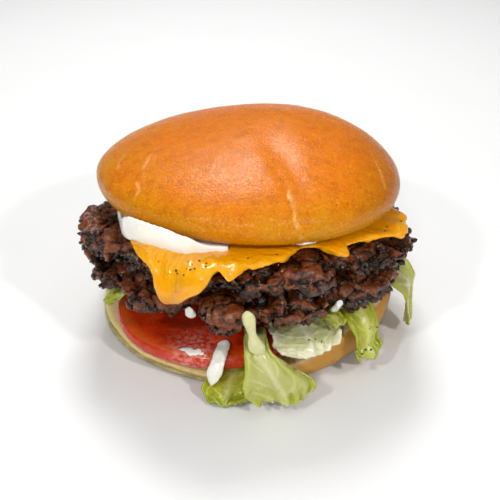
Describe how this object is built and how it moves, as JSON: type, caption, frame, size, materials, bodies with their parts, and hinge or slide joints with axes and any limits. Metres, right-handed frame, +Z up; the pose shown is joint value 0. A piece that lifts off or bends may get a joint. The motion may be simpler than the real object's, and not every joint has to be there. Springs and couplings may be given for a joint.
{
  "type": "smash burger",
  "caption": "Smash burger in a glossy brioche bun, with lacy-edged beef patties, melted cheese, mayonnaise, tomato, onion and lettuce, free-standing on the heel of the bun.",
  "frame": {"origin": "on the flat underside of the bun's heel, on the upright line through the middle of the burger", "axes": "+Z up through the stack, -Y towards the open side that the lettuce hangs out of, +X to its right"},
  "size_m": [0.1161, 0.1233, 0.072],
  "materials": {
    "crust": "glossy egg-washed brioche crust",
    "pale_crust": "soft pale bun side with a golden lower rim",
    "seared_beef": "craggy dark seared crust with shiny fat",
    "melted_cheese": "shiny melted processed slice",
    "mayonnaise": "smooth and creamy",
    "tomato": "wet, smooth skin",
    "onion": "moist, slightly clear",
    "pale_lettuce": "waxy pale leaf with white ribs",
    "green_lettuce": "waxy frilled leaf"
  },
  "bodies": {
    "root": {"bun_crown": "crust", "bun_heel": "pale_crust", "patty_upper": "seared_beef", "patty_lower": "seared_beef", "cheese": "melted_cheese", "mayonnaise": "mayonnaise", "tomato_slice": "tomato", "onion_strip": "onion", "onion_chip_left": "onion", "onion_chip_right": "onion", "lettuce_stalk": "pale_lettuce", "leaf_front_fold": "pale_lettuce", "leaf_front_left": "green_lettuce", "leaf_front_right": "pale_lettuce", "leaf_right": "green_lettuce", "leaf_far_right": "pale_lettuce", "leaf_left": "green_lettuce", "leaf_inner": "green_lettuce", "leaf_back_left": "green_lettuce", "leaf_back": "pale_lettuce", "leaf_back_right": "green_lettuce"}
  },
  "joints": []
}
